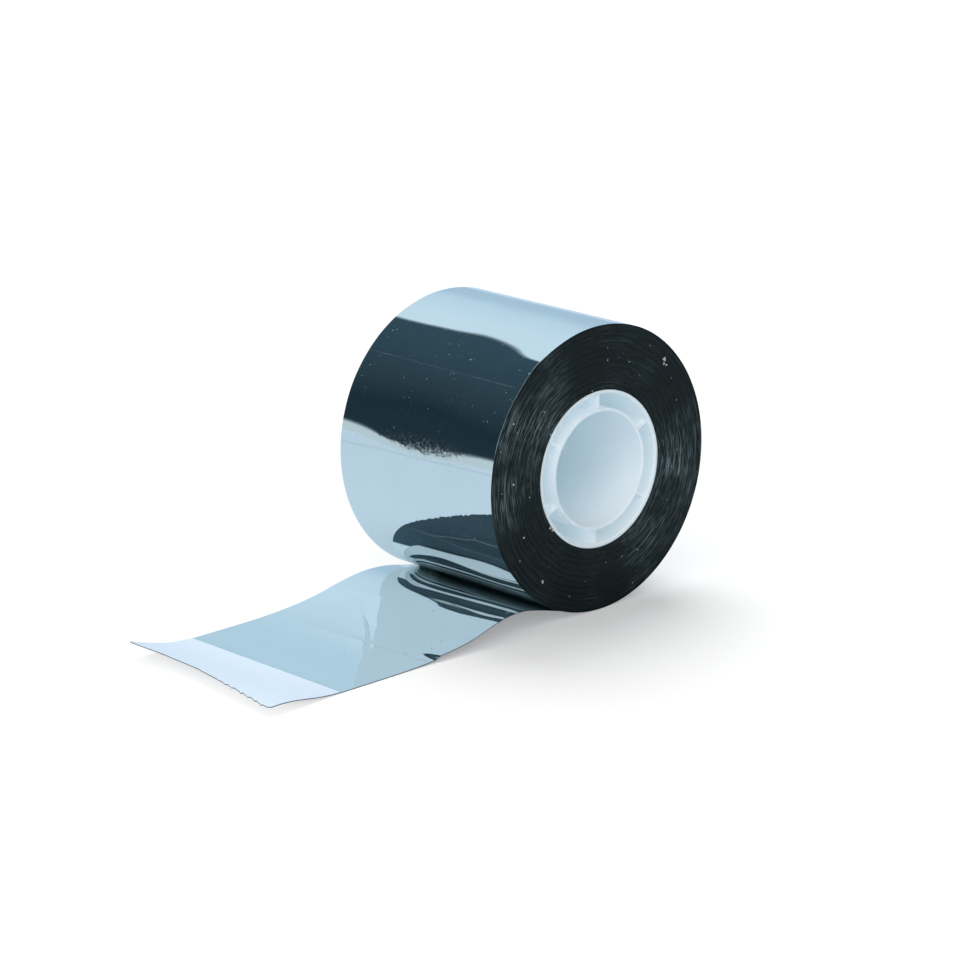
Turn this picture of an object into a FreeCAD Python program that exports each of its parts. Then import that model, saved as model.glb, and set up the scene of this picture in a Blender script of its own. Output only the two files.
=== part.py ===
import math
import os

import FreeCAD
import Part
import Sketcher

# A part-used roll of aluminium foil tape, lying on its side with its free end run out over the table.
#
# Frame: the origin is the centre of the core's bore, Y is the roll's axis, Z is up, and the free end
# leaves the underside of the roll towards -X.  Millimetres.
#
# Three pieces: the wound tape with its free end, the moulded core, and the tab stuck to the free end.

DRIVING_SIZES = [
    # word, value, what it is
    ("tape_width", 50.0, "width of the tape, along the roll's axis"),
    ("tape_thickness", 0.15, "foil and adhesive together"),
    ("roll_radius", 32.65, "outside of the wound turns"),
    ("roll_back", 0.3, "the turns are wound this far off the core's centre, towards the free end"),
    ("roll_lift", 0.1, "and this far upwards"),
    ("rest_depth", 32.35, "from the axis down to the surface that the roll lies on"),
    ("turns_inner", 18.6, "where the uneven turns start on an end face"),
    ("turns_outer", 31.7, "where they end"),
    ("turn_relief", 0.45, "how far the most sunken turns lie below the end face"),
    ("leave_out", 10.5, "from the axis out to where the free end comes off the roll"),
    ("leave_angle", 16, "how steeply it rises there, in degrees"),
    ("hump_out", 25, "from the axis out to the top of its hump"),
    ("hump_height", 4.5, "height of the hump over the table"),
    ("hump_radius", 33, "bend at the top of the hump"),
    ("flat_out", 56, "from the axis out to where it comes to lie flat"),
    ("curl_out", 77, "and to where it curls up again"),
    ("curl_radius", 30, "bend of the curl"),
    ("curl_angle", 14, "how steeply the torn end stands up, in degrees"),
    ("core_radius", 17.8, "outside of the core, which the first turn is wound on"),
    ("bore_radius", 13.0, "bore of the core, for a 26 mm hub"),
    ("outer_wall", 0.8, "wall of the core's outer tube"),
    ("inner_wall", 0.7, "wall of the core's inner tube"),
    ("rib_count", 6, "ribs between the two tubes"),
    ("rib_thickness", 0.9, "thickness of a rib"),
    ("rib_recess", 1.2, "the ribs stop this far short of the core's ends"),
    ("rib_root", 0.5, "fillet where a rib meets a tube"),
    ("rim_chamfer", 0.25, "broken edge at the mouth of each tube"),
    ("tab_start", 75.6, "from the axis out to the tab's straight edge"),
    ("tab_thickness", 0.12, "thickness of the tab"),
    ("cut_near", 96.0, "from the axis out to the torn end, at the tape's near edge"),
    ("cut_middle", 92.2, "the same where the toothed half of the tear ends"),
    ("cut_far", 93.4, "the same at the tape's far edge"),
    ("cut_middle_side", 2.0, "the toothed half ends this far on the near side of the tape's middle"),
    ("tooth_depth", 0.6, "depth of the teeth that a cutter left along the tear"),
]

RIB_START_DEG = 26.6        # direction of the first rib, from +X towards +Z
RIDGE_COUNT = 11            # ridges of turns that stand out on an end face
TOOTH_COUNT = 11            # teeth along the toothed half of the tear
FIRST_NOTCH = 0.35          # how far along a tooth its notch lies, and how much further on every other one
NOTCH_SHIFT = 0.3
FAR_TEAR_SIDE = 0.35        # the far half of the tear bends here, in tape widths from the middle
FAR_TEAR_DIP = 0.4          # and is this far out of line there
CUT_MARGIN = 10.0           # how far a cutting outline reaches past what it cuts
TIP_OVERSHOOT = 5.0         # how far the free end is drawn past the tear, before it is cut off there

doc = FreeCAD.newDocument("foil_tape")


# ---- the sheet of driving sizes ---------------------------------------------------------------------

def write_sheet():
    """Put every driving size in a sheet, one row each, with its word as the cell's alias."""
    sheet = doc.addObject("Spreadsheet::Sheet", "Sizes")
    for row, (word, number, meaning) in enumerate(DRIVING_SIZES, 1):
        sheet.set(f"A{row}", word)
        sheet.set(f"B{row}", str(number))
        sheet.setAlias(f"B{row}", word)
        sheet.set(f"C{row}", meaning)
    doc.recompute()
    return sheet


sizes = write_sheet()


def value(expression):
    """The number that an expression in the sheet's words comes to."""
    return float(sizes.evalExpression(expression))


# ---- bodies, sketches and their constraints ---------------------------------------------------------

def add_body(name):
    body = doc.addObject("PartDesign::Body", name)
    body.Label = name
    return body


def origin_plane(body, role):
    return next(item for item in body.Origin.OriginFeatures if item.Role == role)


def add_sketch(body, role, name, offset=None):
    """A sketch on one of the body's own origin planes, moved along its normal by an expression."""
    sketch = body.newObject("Sketcher::SketchObject", name)
    sketch.AttachmentSupport = [(origin_plane(body, role), "")]
    sketch.MapMode = "FlatFace"
    if offset:
        sketch.setExpression("AttachmentOffset.Base.z", offset)
    doc.recompute()
    return sketch


def bind(sketch, constraint, expression):
    """Add a dimension to the sketch and tie it to an expression in the sheet's words."""
    index = sketch.addConstraint(constraint)
    sketch.setExpression(f"Constraints[{index}]", expression)


def fix_coordinate(sketch, kind, axis, curve, point, expression):
    """Tie one coordinate of a sketch point to an expression of either sign."""
    distance = value(expression)
    if abs(distance) < 1e-9:
        sketch.addConstraint(Sketcher.Constraint("PointOnObject", curve, point, axis))
    elif distance > 0:
        bind(sketch, Sketcher.Constraint(kind, -1, 1, curve, point, distance), expression)
    else:
        bind(sketch, Sketcher.Constraint(kind, curve, point, -1, 1, -distance), f"-({expression})")


def fix_point(sketch, curve, point, across, up):
    fix_coordinate(sketch, "DistanceX", -2, curve, point, across)
    fix_coordinate(sketch, "DistanceY", -1, curve, point, up)


def vector(across, up):
    return FreeCAD.Vector(value(across), value(up), 0)


def draw_circle(sketch, radius):
    circle = Part.Circle(FreeCAD.Vector(0, 0, 0), FreeCAD.Vector(0, 0, 1), value(radius))
    curve = sketch.addGeometry(circle, False)
    sketch.addConstraint(Sketcher.Constraint("Coincident", curve, 3, -1, 1))
    bind(sketch, Sketcher.Constraint("Radius", curve, value(radius)), radius)


def draw_polygon(sketch, corners):
    """A closed outline of straight lines, each corner given by two expressions."""
    count = len(corners)
    lines = []
    for number in range(count):
        start = vector(*corners[number])
        end = vector(*corners[(number + 1) % count])
        lines.append(sketch.addGeometry(Part.LineSegment(start, end), False))
    for number, line in enumerate(lines):
        sketch.addConstraint(Sketcher.Constraint("Coincident", line, 2, lines[(number + 1) % count], 1))
        fix_point(sketch, line, 1, *corners[number])


# ---- features ---------------------------------------------------------------------------------------

def pad(body, sketch, length, name):
    """Pad a sketch by the same amount to both sides of its plane."""
    feature = body.newObject("PartDesign::Pad", name)
    feature.Profile = sketch
    feature.SideType = "Symmetric"
    feature.Refine = False
    feature.setExpression("Length", length)
    doc.recompute()
    return feature


def turn_away(body, sketch, name):
    """Groove: cut the sketch away all round the sketch's horizontal axis."""
    feature = body.newObject("PartDesign::Groove", name)
    feature.Profile = sketch
    feature.ReferenceAxis = (sketch, ["H_Axis"])
    feature.Angle = 360
    doc.recompute()
    return feature


def mirror_across_middle(body, original, name):
    """Repeat a feature on the other side of the tape's middle plane."""
    feature = body.newObject("PartDesign::Mirrored", name)
    feature.Originals = [original]
    feature.MirrorPlane = (origin_plane(body, "XZ_Plane"), [""])
    body.Tip = feature
    doc.recompute()
    return feature


def pocket_through(body, sketch, length, name):
    """Cut a sketch away on both sides of its plane."""
    feature = body.newObject("PartDesign::Pocket", name)
    feature.Profile = sketch
    feature.SideType = "Symmetric"
    feature.Refine = False
    feature.setExpression("Length", length)
    doc.recompute()
    return feature


def treat_edges(body, kind, base, edges, size_name, size, name):
    """Fillet or chamfer the named edges of a feature."""
    feature = body.newObject(kind, name)
    feature.Base = (base, edges)
    feature.setExpression(size_name, size)
    doc.recompute()
    return feature


# ---- the core: two tubes joined by ribs, moulded in one ---------------------------------------------

def distance_from_axis(point):
    return math.hypot(point.x, point.z)


def tube(body, name, outer, inner):
    sketch = add_sketch(body, "XZ_Plane", name + "_rings")
    draw_circle(sketch, outer)
    draw_circle(sketch, inner)
    return pad(body, sketch, "Sizes.tape_width", name)


def rib_root_edges(shape):
    """Names of the long straight edges where a rib's side meets one of the tubes."""
    roots = (value("Sizes.bore_radius + Sizes.inner_wall"), value("Sizes.core_radius - Sizes.outer_wall"))
    names = []
    for number, edge in enumerate(shape.Edges, 1):
        start, end = (vertex.Point for vertex in (edge.Vertexes[0], edge.Vertexes[-1]))
        along_axis = abs(end.y - start.y) > edge.Length * 0.999
        radius = distance_from_axis(start)
        if along_axis and edge.Length > 1 and any(abs(radius - root) < 0.01 for root in roots):
            closed_seam = start.x > 0 and abs(start.z) < 1e-6
            if not closed_seam:
                names.append(f"Edge{number}")
    return names


def mouth_edges(shape):
    """Names of the circular edges at the mouths of the bore and of the outer tube, at both ends."""
    half_width = value("Sizes.tape_width / 2")
    mouths = (value("Sizes.bore_radius"), value("Sizes.core_radius - Sizes.outer_wall"))
    names = []
    for number, edge in enumerate(shape.Edges, 1):
        at_end = all(abs(abs(vertex.Y) - half_width) < 1e-6 for vertex in edge.Vertexes)
        radius = edge.Curve.Radius if isinstance(edge.Curve, Part.Circle) else 0
        if at_end and any(abs(radius - mouth) < 1e-6 for mouth in mouths):
            names.append(f"Edge{number}")
    return names


def make_core():
    body = add_body("core")
    tube(body, "inner_tube", "Sizes.bore_radius + Sizes.inner_wall", "Sizes.bore_radius")

    rib_sketch = add_sketch(body, "XZ_Plane", "rib_section")
    inner = "Sizes.bore_radius + Sizes.inner_wall / 2"
    outer = "Sizes.core_radius - Sizes.outer_wall / 2"
    half = "Sizes.rib_thickness / 2"
    draw_polygon(rib_sketch, [(inner, f"-{half}"), (outer, f"-{half}"), (outer, half), (inner, half)])
    rib_sketch.AttachmentOffset = FreeCAD.Placement(
        FreeCAD.Vector(0, 0, 0), FreeCAD.Rotation(FreeCAD.Vector(0, 0, 1), RIB_START_DEG))
    rib = pad(body, rib_sketch, "Sizes.tape_width - 2 * Sizes.rib_recess", "rib")

    ribs = body.newObject("PartDesign::PolarPattern", "ribs")
    ribs.Originals = [rib]
    ribs.Axis = (rib_sketch, ["N_Axis"])
    ribs.Angle = 360
    ribs.setExpression("Occurrences", "Sizes.rib_count")
    body.Tip = ribs
    doc.recompute()

    whole = tube(body, "outer_tube", "Sizes.core_radius", "Sizes.core_radius - Sizes.outer_wall")
    rooted = treat_edges(body, "PartDesign::Fillet", whole, rib_root_edges(whole.Shape),
                         "Radius", "Sizes.rib_root", "rib_roots")
    treat_edges(body, "PartDesign::Chamfer", rooted, mouth_edges(rooted.Shape),
                "Size", "Sizes.rim_chamfer", "mouths")
    return body


# ---- the free end, shared by the tape and the tab ---------------------------------------------------

def arc(centre, radius, start_deg, end_deg):
    circle = Part.Circle(FreeCAD.Vector(*centre, 0), FreeCAD.Vector(0, 0, 1), radius)
    return Part.ArcOfCircle(circle, math.radians(start_deg), math.radians(end_deg))


def point_on_slope(out, start, slope_deg):
    """The point at the given distance out, on a slope that rises outwards through a start point."""
    height = (out + start.x) * math.tan(math.radians(slope_deg))
    return FreeCAD.Vector(-out, start.y + height, 0)


def draw_free_end(sketch, height):
    """The free end seen from the tape's edge, at a height above its underside.

    It is one smooth line: a rise off the roll, a hump, a sag, a flat stretch, a curl and a straight tip.
    Returns the rise and the tip.
    """
    lift = value(height)
    table = -value("Sizes.rest_depth") + lift
    hump_out, hump_height, flat_out, curl_out = (
        value(f"Sizes.{word}") for word in ("hump_out", "hump_height", "flat_out", "curl_out"))
    leave, curl = value("Sizes.leave_angle"), value("Sizes.curl_angle")
    hump_radius = value("Sizes.hump_radius") + lift
    curl_radius = value("Sizes.curl_radius") - lift
    reach = flat_out - hump_out
    sag_radius = (reach ** 2 + hump_height ** 2) / (2 * hump_height) - hump_radius
    fall = 2 * math.degrees(math.atan(hump_height / reach))

    hump = arc((-hump_out, table + hump_height - hump_radius), hump_radius, 90 - leave, 90 + fall)
    sag = arc((-flat_out, table + sag_radius), sag_radius, -90, -90 + fall)
    curled = arc((-curl_out, table + curl_radius), curl_radius, -90 - curl, -90)
    rise_start = point_on_slope(value("Sizes.leave_out"), hump.StartPoint, leave)
    tip_end = point_on_slope(value("Sizes.cut_near") + TIP_OVERSHOOT, curled.StartPoint, curl)
    rise = Part.LineSegment(rise_start, hump.StartPoint)
    flat = Part.LineSegment(sag.StartPoint, curled.EndPoint)
    tip = Part.LineSegment(curled.StartPoint, tip_end)
    rise, hump, sag, flat, curled, tip = (
        sketch.addGeometry(curve, False) for curve in (rise, hump, sag, flat, curled, tip))

    def join(one, one_end, other, other_end):
        sketch.addConstraint(Sketcher.Constraint("Tangent", one, one_end, other, other_end))

    join(rise, 2, hump, 1)
    join(hump, 2, sag, 2)
    join(sag, 1, flat, 1)
    join(flat, 2, curled, 2)
    join(curled, 1, tip, 1)
    sketch.addConstraint(Sketcher.Constraint("Horizontal", flat))

    floor = f"-Sizes.rest_depth + {height}"
    fix_point(sketch, hump, 3, "-Sizes.hump_out",
              "Sizes.hump_height - Sizes.hump_radius - Sizes.rest_depth")
    bind(sketch, Sketcher.Constraint("Radius", hump, hump_radius), f"Sizes.hump_radius + {height}")
    fix_point(sketch, flat, 1, "-Sizes.flat_out", floor)
    fix_coordinate(sketch, "DistanceX", -2, flat, 2, "-Sizes.curl_out")
    bind(sketch, Sketcher.Constraint("Radius", curled, curl_radius), f"Sizes.curl_radius - ({height})")
    for line, angle, word in ((rise, leave, "leave_angle"), (tip, curl, "curl_angle")):
        bind(sketch, Sketcher.Constraint("Angle", line, math.radians(180 - angle)),
             f"180 deg - Sizes.{word} * 1 deg")
    fix_coordinate(sketch, "DistanceX", -2, rise, 1, "-Sizes.leave_out")
    fix_coordinate(sketch, "DistanceX", -2, tip, 2, f"-Sizes.cut_near - {TIP_OVERSHOOT}")
    return rise, tip


def add_ribbon(body, name, bottom, top):
    """A ribbon as wide as the tape and as the free end lies, between two heights over its underside."""
    sketch = add_sketch(body, "XZ_Plane", name + "_section")
    under_rise, under_tip = draw_free_end(sketch, bottom)
    over_rise, over_tip = draw_free_end(sketch, top)
    for under, over, point in ((under_rise, over_rise, 1), (under_tip, over_tip, 2)):
        cap = Part.LineSegment(sketch.getPoint(under, point), sketch.getPoint(over, point))
        cap = sketch.addGeometry(cap, False)
        sketch.addConstraint(Sketcher.Constraint("Coincident", cap, 1, under, point))
        sketch.addConstraint(Sketcher.Constraint("Coincident", cap, 2, over, point))
    return pad(body, sketch, "Sizes.tape_width", name)


def tear_off(body):
    """Cut the free end along the tear: teeth on its near half, nearly straight on its far half."""
    near_side, far_side = "-Sizes.tape_width / 2", "Sizes.tape_width / 2"
    toothed = "(Sizes.tape_width / 2 - Sizes.cut_middle_side)"

    def on_tear(share, depth):
        """The point at a share of the toothed half, from the tape's near edge, and as deep as given."""
        return (f"-Sizes.cut_near + (Sizes.cut_near - Sizes.cut_middle) * {share} + {depth}",
                f"{near_side} + {toothed} * {share}")

    corners = []
    for tooth in range(TOOTH_COUNT):
        notch = tooth + FIRST_NOTCH + NOTCH_SHIFT * (tooth % 2)
        corners.append(on_tear(tooth / TOOTH_COUNT, 0))
        corners.append(on_tear(notch / TOOTH_COUNT, "Sizes.tooth_depth"))
    corners.append(on_tear(1, 0))
    corners.append((f"-Sizes.cut_middle + {FAR_TEAR_DIP}", f"Sizes.tape_width * {FAR_TEAR_SIDE}"))
    corners.append(("-Sizes.cut_far", far_side))
    corners.append(("-Sizes.cut_far", f"{far_side} + {CUT_MARGIN}"))
    corners.append((f"-Sizes.cut_near - {CUT_MARGIN}", f"{far_side} + {CUT_MARGIN}"))
    corners.append((f"-Sizes.cut_near - {CUT_MARGIN}", f"{near_side} - {CUT_MARGIN}"))
    corners.append(("-Sizes.cut_near", f"{near_side} - {CUT_MARGIN}"))
    sketch = add_sketch(body, "XY_Plane", body.Name + "_tear")
    draw_polygon(sketch, corners)
    return pocket_through(body, sketch, "4 * Sizes.rest_depth", body.Name + "_torn_end")


# ---- the tape: the wound turns and the free end, one solid ------------------------------------------

def draw_roll_outline(sketch):
    """The outside of the roll: round, with the flat spot that it rests on."""
    flat_half = "sqrt(Sizes.roll_radius ^ 2 - (Sizes.rest_depth + Sizes.roll_lift) ^ 2)"
    left = (f"-Sizes.roll_back - {flat_half}", "-Sizes.rest_depth")
    right = (f"-Sizes.roll_back + {flat_half}", "-Sizes.rest_depth")
    centre = ("-Sizes.roll_back", "Sizes.roll_lift")
    flat = sketch.addGeometry(Part.LineSegment(vector(*left), vector(*right)), False)
    circle = Part.Circle(vector(*centre), FreeCAD.Vector(0, 0, 1), value("Sizes.roll_radius"))
    spread = math.atan2(value(flat_half), value("Sizes.rest_depth + Sizes.roll_lift"))
    bottom = -math.pi / 2
    round_part = sketch.addGeometry(
        Part.ArcOfCircle(circle, bottom + spread, bottom + 2 * math.pi - spread), False)
    sketch.addConstraint(Sketcher.Constraint("Coincident", round_part, 1, flat, 2))
    sketch.addConstraint(Sketcher.Constraint("Coincident", round_part, 2, flat, 1))
    sketch.addConstraint(Sketcher.Constraint("Horizontal", flat))
    fix_point(sketch, round_part, 3, *centre)
    bind(sketch, Sketcher.Constraint("Radius", round_part, value("Sizes.roll_radius")), "Sizes.roll_radius")
    fix_coordinate(sketch, "DistanceY", -1, flat, 1, "-Sizes.rest_depth")


def turn_ridges():
    """Section through the turns at one end face: ridges of turns that slipped sideways in winding."""
    face = "Sizes.tape_width / 2"
    corners = [(f"{face} + {CUT_MARGIN}", "Sizes.turns_inner")]
    steps = 2 * RIDGE_COUNT
    for step in range(steps + 1):
        # Valleys lie between half and all of the relief down, and ridges less than a third of it.
        uneven = abs(math.sin(2.4 * step + 1))
        valley = step % 2 == 1
        sink = 0.5 + 0.5 * uneven if valley else 0.1 + 0.2 * uneven
        share = (step + 0.3 * math.sin(5 * step)) / steps
        radius = f"Sizes.turns_inner + (Sizes.turns_outer - Sizes.turns_inner) * {share:.3f}"
        corners.append((f"{face} - Sizes.turn_relief * {sink:.2f}", radius))
    corners.append((f"{face} + {CUT_MARGIN}", "Sizes.turns_outer"))
    return corners


def make_tape():
    body = add_body("tape")
    outline = add_sketch(body, "XZ_Plane", "roll_outline")
    draw_roll_outline(outline)
    draw_circle(outline, "Sizes.core_radius")
    pad(body, outline, "Sizes.tape_width", "wound_turns")

    ridges = add_sketch(body, "YZ_Plane", "turn_ridges")
    draw_polygon(ridges, turn_ridges())
    one_end = turn_away(body, ridges, "turns_at_one_end")
    mirror_across_middle(body, one_end, "turns_at_both_ends")

    add_ribbon(body, "free_end", "0", "Sizes.tape_thickness")
    tear_off(body)
    return body


# ---- the tab: a strip stuck to the free end's upper side, torn off with it --------------------------

def make_end_tab():
    body = add_body("end_tab")
    add_ribbon(body, "tab_strip", "Sizes.tape_thickness", "Sizes.tape_thickness + Sizes.tab_thickness")
    trim = add_sketch(body, "XY_Plane", "tab_straight_edge")
    side = f"Sizes.tape_width / 2 + {CUT_MARGIN}"
    inwards = f"{CUT_MARGIN}"
    draw_polygon(trim, [("-Sizes.tab_start", f"-({side})"), (inwards, f"-({side})"),
                        (inwards, side), ("-Sizes.tab_start", side)])
    pocket_through(body, trim, "4 * Sizes.rest_depth", "tab_trim")
    tear_off(body)
    return body


# ---- build, check and write -------------------------------------------------------------------------

def check(pieces):
    """Stop if any feature failed or any piece isn't one valid solid."""
    for item in doc.Objects:
        if any(word in ("Invalid", "Error") for word in item.State):
            raise RuntimeError(f"{item.Name}: {item.State}")
        if item.isDerivedFrom("Sketcher::SketchObject") and not item.FullyConstrained:
            raise RuntimeError(f"{item.Name} isn't fully constrained")
    for piece in pieces:
        shape = piece.Shape
        if shape.isNull() or not shape.isValid() or len(shape.Solids) != 1:
            raise RuntimeError(f"{piece.Label} isn't one valid solid")


def write(pieces):
    os.makedirs("parts", exist_ok=True)
    for piece in pieces:
        piece.Shape.exportStep(f"parts/{piece.Label}.step")
        box = piece.Shape.BoundBox
        print(f"{piece.Label}: {piece.Shape.Volume:.1f} mm3, X {box.XMin:.2f} to {box.XMax:.2f}, "
              f"Y {box.YMin:.2f} to {box.YMax:.2f}, Z {box.ZMin:.2f} to {box.ZMax:.2f}")


pieces = [make_tape(), make_core(), make_end_tab()]
doc.recompute()
check(pieces)
write(pieces)
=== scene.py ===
"""Looks of a part-used roll of mirror-bright foil tape, lying on its side.

Its free end runs out over the floor, and a white strip is stuck across the torn end.

Shapes are given in millimetres, and directions round the roll in degrees from +X towards +Z. In
the materials, places are in metres unless said otherwise, and a noise's scale is in waves to the
metre.
"""
import bisect
import math

import bpy
from mathutils import Matrix, Vector, noise


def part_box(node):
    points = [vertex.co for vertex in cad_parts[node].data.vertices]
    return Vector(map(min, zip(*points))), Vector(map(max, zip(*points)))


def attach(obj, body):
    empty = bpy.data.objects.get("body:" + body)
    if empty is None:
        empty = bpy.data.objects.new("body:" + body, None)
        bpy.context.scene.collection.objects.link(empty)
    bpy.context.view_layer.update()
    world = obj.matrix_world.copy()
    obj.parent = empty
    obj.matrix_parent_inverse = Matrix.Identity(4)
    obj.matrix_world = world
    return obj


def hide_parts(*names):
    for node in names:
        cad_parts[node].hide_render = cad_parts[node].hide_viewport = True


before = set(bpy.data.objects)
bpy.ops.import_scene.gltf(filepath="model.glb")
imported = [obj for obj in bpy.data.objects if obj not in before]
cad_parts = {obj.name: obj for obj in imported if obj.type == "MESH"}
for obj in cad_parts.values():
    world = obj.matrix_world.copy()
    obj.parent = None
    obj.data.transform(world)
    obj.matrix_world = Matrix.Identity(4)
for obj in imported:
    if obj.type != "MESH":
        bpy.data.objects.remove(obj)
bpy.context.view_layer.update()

MM = 0.001

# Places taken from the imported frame.
ROLL_LOW, ROLL_HIGH = (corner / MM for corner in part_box("tape"))
FLOOR = ROLL_LOW.z
HALF_WIDTH = ROLL_HIGH.y
CORE_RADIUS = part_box("core")[1].x / MM


# ---------------------------------------------------------------- helpers

def metres(x, y, z):
    """A point given in millimetres, as Blender's metres."""
    return Vector((x * MM, y * MM, z * MM))


def blend(a, b, share):
    return a + (b - a) * share


def smooth(low, high, value):
    """0 at low, 1 at high, and a soft step between. Low may be the larger of the two."""
    share = min(max((value - low) / (high - low), 0.0), 1.0)
    return share * share * (3 - 2 * share)


def ripple(x, y, seed):
    """Smooth noise from about -1 to 1."""
    return noise.noise(Vector((x, y, seed)))


def spline(poles, share):
    """A clamped uniform cubic B-spline with these poles, by de Boor's steps."""
    spans = len(poles) - 3
    knots = [0] * 3 + list(range(spans + 1)) + [spans] * 3
    place = min(share * spans, spans - 1e-9)
    span = int(place) + 3
    work = [poles[span - 3 + i] for i in range(4)]
    for level in range(1, 4):
        for i in range(3, level - 1, -1):
            low = knots[span - 3 + i]
            high = knots[span + 1 + i - level]
            work[i] = blend(work[i - 1], work[i], (place - low) / (high - low))
    return work[3]


def new_object(name, points, faces, materials, face_materials=None, sharp_degrees=60):
    """A smoothly shaded mesh, apart from edges that are sharper than this."""
    mesh = bpy.data.meshes.new(name)
    mesh.from_pydata(points, [], faces)
    for material in materials:
        mesh.materials.append(material)
    if face_materials:
        mesh.polygons.foreach_set("material_index", face_materials)
    mesh.polygons.foreach_set("use_smooth", [True] * len(mesh.polygons))
    mesh.set_sharp_from_angle(angle=math.radians(sharp_degrees))
    mesh.update()
    piece = bpy.data.objects.new(name, mesh)
    bpy.context.scene.collection.objects.link(piece)
    return piece


# ---------------------------------------------------------------- node trees

class Nodes:
    """A short way to write node trees."""

    def __init__(self, tree):
        self.tree = tree
        tree.nodes.clear()

    def add(self, kind, inputs=None, **settings):
        """A node with these settings, and with values or links for its inputs."""
        node = self.tree.nodes.new(kind)
        for key, value in settings.items():
            setattr(node, key, value)
        for key, value in (inputs or {}).items():
            self.feed(node.inputs[key], value)
        return node

    def feed(self, socket, value):
        """Link an output to this socket, or set the socket to a plain value."""
        if isinstance(value, bpy.types.NodeSocket):
            self.tree.links.new(value, socket)
        else:
            socket.default_value = value

    def math(self, operation, *values):
        node = self.tree.nodes.new("ShaderNodeMath")
        node.operation = operation
        for socket, value in zip(node.inputs, values):
            self.feed(socket, value)
        return node.outputs[0]

    def join(self, operation, values):
        """All of these values joined by one operation, from left to right."""
        joined, *others = values
        for value in others:
            joined = self.math(operation, joined, value)
        return joined

    def plus(self, *values):
        return self.join("ADD", values)

    def minus(self, a, b):
        return self.math("SUBTRACT", a, b)

    def times(self, *values):
        return self.join("MULTIPLY", values)

    def most(self, *values):
        return self.join("MAXIMUM", values)

    def range(self, value, low, high, to_low=0.0, to_high=1.0):
        """to_low where the value is low, to_high where it is high, and straight between."""
        node = self.add("ShaderNodeMapRange", {0: value, 1: low, 2: high, 3: to_low, 4: to_high})
        return node.outputs[0]

    def narrow(self, away, width):
        """1 on the middle of a line, and 0 where it is this far away."""
        return self.range(self.math("ABSOLUTE", away), width, width * 0.3)

    def hill(self, *offsets):
        """1 where all of these offsets are 0, and hardly anything where one of them is 2."""
        squares = [self.math("POWER", offset, 2.0) for offset in offsets]
        return self.math("EXPONENT", self.times(self.plus(*squares), -1.0))

    def offset(self, value, middle, reach):
        """How many reaches the value lies away from the middle."""
        return self.math("DIVIDE", self.minus(value, middle), reach)

    def vector(self, operation, a, b=None):
        """A vector operation's own result. Lengths and products come from its output Value."""
        inputs = {0: a} if b is None else {0: a, 1: b}
        return self.add("ShaderNodeVectorMath", inputs, operation=operation).outputs

    def mix(self, share, a, b):
        """Colour a, turning into b by this share."""
        node = self.add("ShaderNodeMix", data_type="RGBA")
        for index, value in ((0, share), (6, a), (7, b)):
            self.feed(node.inputs[index], value)
        return node.outputs[2]

    def noise(self, place, scale, detail, rough=0.5):
        node = self.add("ShaderNodeTexNoise", {"Vector": place, "Scale": scale, "Detail": detail,
                                               "Roughness": rough})
        return node.outputs[0]

    def stretched_noise(self, place, scales, detail):
        """Noise with a scale of its own along each axis."""
        stretched = self.add("ShaderNodeMapping", {"Vector": place, "Scale": scales}).outputs[0]
        return self.noise(stretched, 1.0, detail)

    def bump(self, height, strength, distance):
        return self.add("ShaderNodeBump", {"Height": height, "Strength": strength,
                                           "Distance": distance})

    def ramp(self, share, stops):
        """The colour at this share, from stops of (share, colour)."""
        node = self.add("ShaderNodeValToRGB", {"Fac": share})
        elements = node.color_ramp.elements
        while len(elements) < len(stops):
            elements.new(0.5)
        for element, (place, colour) in zip(elements, stops):
            element.position = place
            element.color = (*colour, 1.0)
        return node.outputs[0]

    def place(self):
        """The place on the object."""
        return self.add("ShaderNodeTexCoord").outputs["Object"]

    def apart(self, vector):
        """A vector's three parts."""
        return self.add("ShaderNodeSeparateXYZ", {0: vector}).outputs

    def end(self, kind, shader):
        """End the tree with this shader."""
        self.feed(self.add(kind).inputs["Surface"], shader)


def new_material(name):
    material = bpy.data.materials.new(name)
    material.use_nodes = True
    return material, Nodes(material.node_tree)


def grey(level):
    return (level, level, level, 1.0)


def out_from_axis(n, x, z):
    """The way out from the roll's axis to here, and its length."""
    flat = n.add("ShaderNodeCombineXYZ", {0: x, 2: z}).outputs[0]
    return flat, n.vector("LENGTH", flat)["Value"]


# ---------------------------------------------------------------- foil

# The tape's two sides: colour, roughness where it is clean and where it is smudged, and the light
# that its surface scatters.
OUTER_SIDE = {
    "colour": (0.85, 0.865, 0.86, 1.0),
    "roughness": (0.018, 0.036),
    "haze": (0.004, 0.007, 0.011, 1.0),
}
INNER_SIDE = {
    "colour": (0.812, 0.835, 0.83, 1.0),
    "roughness": (0.012, 0.024),
    "haze": (0.015, 0.028, 0.038, 1.0),
}
SMUDGE_SCALE = 60.0
SMUDGE_SHADE = 0.97
DIRT_COLOUR = (0.42, 0.60, 0.66, 1.0)
DIRT_TAKES_METAL = 0.8

# Round specks: how many cells to the metre, the speck's size in cells, and the share of the cells
# that have one.
SPECKS = ((850.0, 0.16, 0.22), (300.0, 0.11, 0.10))
FAINT_SPECKS = ((1000.0, 0.19, 0.40),)
FACE_SPECKS = ((620.0, 0.18, 0.12), (260.0, 0.09, 0.16))
SPECK_PATCH_SCALE = 75.0
# The faint specks get weaker on the way down the front, between these directions and by these
# strengths. There are none below the axis.
FAINT_FROM, FAINT_TO = 142.0, 152.0
FAINT_ABOVE, FAINT_BELOW = 0.75, 0.2

# A broken dusty line along the roll: direction, width in degrees, strength, and its breaks' scale.
DUSTY_LINE_TURN = 135.2
DUSTY_LINE_WIDTH = 0.15
DUSTY_LINE_STRENGTH = 0.16
DUSTY_LINE_BREAKS = 160.0

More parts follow.
